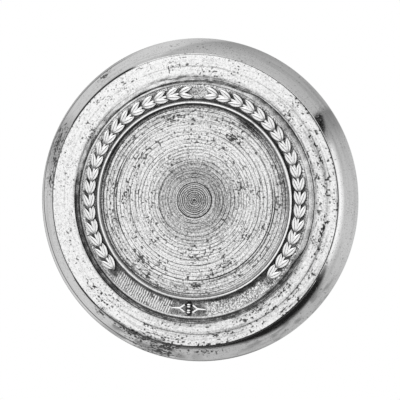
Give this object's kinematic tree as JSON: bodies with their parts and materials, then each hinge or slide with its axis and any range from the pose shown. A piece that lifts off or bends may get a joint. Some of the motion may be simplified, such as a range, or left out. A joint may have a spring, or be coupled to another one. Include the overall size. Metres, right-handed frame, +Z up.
{
  "type": "motoring club badge",
  "caption": "Round metal car badge with a polished rim, a laurel band, a beaded turned centre, and rear studs with a padded clamp strap that grips a grille.",
  "frame": {"origin": "centre of the gasket's rear face, where the badge seats on the grille", "axes": "the face looks along -Y, the studs run back along +Y, +Z is up with the divider ornament at the bottom, +X is the right side seen from the front"},
  "size_m": [0.08, 0.0349, 0.08],
  "materials": {
    "rim_chrome": "polished",
    "struck_face": "satin",
    "raised_ornament": "satin",
    "bead_metal": "polished",
    "turned_disc": "satin",
    "rivet_metal": "satin",
    "fibre_packing": "matte",
    "cover_brass": "satin",
    "screw_brass": "satin",
    "stud_brass": "satin",
    "gasket_rubber": "matte",
    "strap_steel": "satin",
    "pad_rubber": "matte",
    "washer_steel": "satin",
    "spring_steel": "satin",
    "nut_brass": "satin"
  },
  "bodies": {
    "badge": {"rim": "rim_chrome", "face_plate": "struck_face", "laurel_left": "raised_ornament", "laurel_right": "raised_ornament", "divider_ornament": "raised_ornament", "bead_ring": "bead_metal", "centre_disc": "turned_disc", "centre_rivet": "rivet_metal", "packing_disc": "fibre_packing", "back_cover": "cover_brass", "cover_screws": "screw_brass", "stud_left": "stud_brass", "stud_right": "stud_brass", "gasket": "gasket_rubber"},
    "clamp": {"clamp_strap": "strap_steel", "strap_pad_left": "pad_rubber", "strap_pad_right": "pad_rubber", "washer_left": "washer_steel", "washer_right": "washer_steel", "spring_washer_left": "spring_steel", "spring_washer_right": "spring_steel"},
    "left_nut": {"nut_left": "nut_brass"},
    "right_nut": {"nut_right": "nut_brass"}
  },
  "joints": [
    {"name": "strap_slide", "type": "slide", "parent": "badge", "child": "clamp", "axis": [0, 1, 0], "range_m": [0, 0.0064]},
    {"name": "nut_left_turn", "type": "hinge", "parent": "clamp", "child": "left_nut", "pos_m": [-0.018, 0.0168, 0], "axis": [0, 1, 0], "range_deg": [0, 2880]},
    {"name": "nut_right_turn", "type": "hinge", "parent": "clamp", "child": "right_nut", "pos_m": [0.018, 0.0168, 0], "axis": [0, 1, 0], "range_deg": [0, 2880]}
  ],
  "couplings": [
    {"joint": "nut_left_turn", "follows": "strap_slide", "rad_per_m": 7853.9},
    {"joint": "nut_right_turn", "follows": "strap_slide", "rad_per_m": 7853.9}
  ]
}
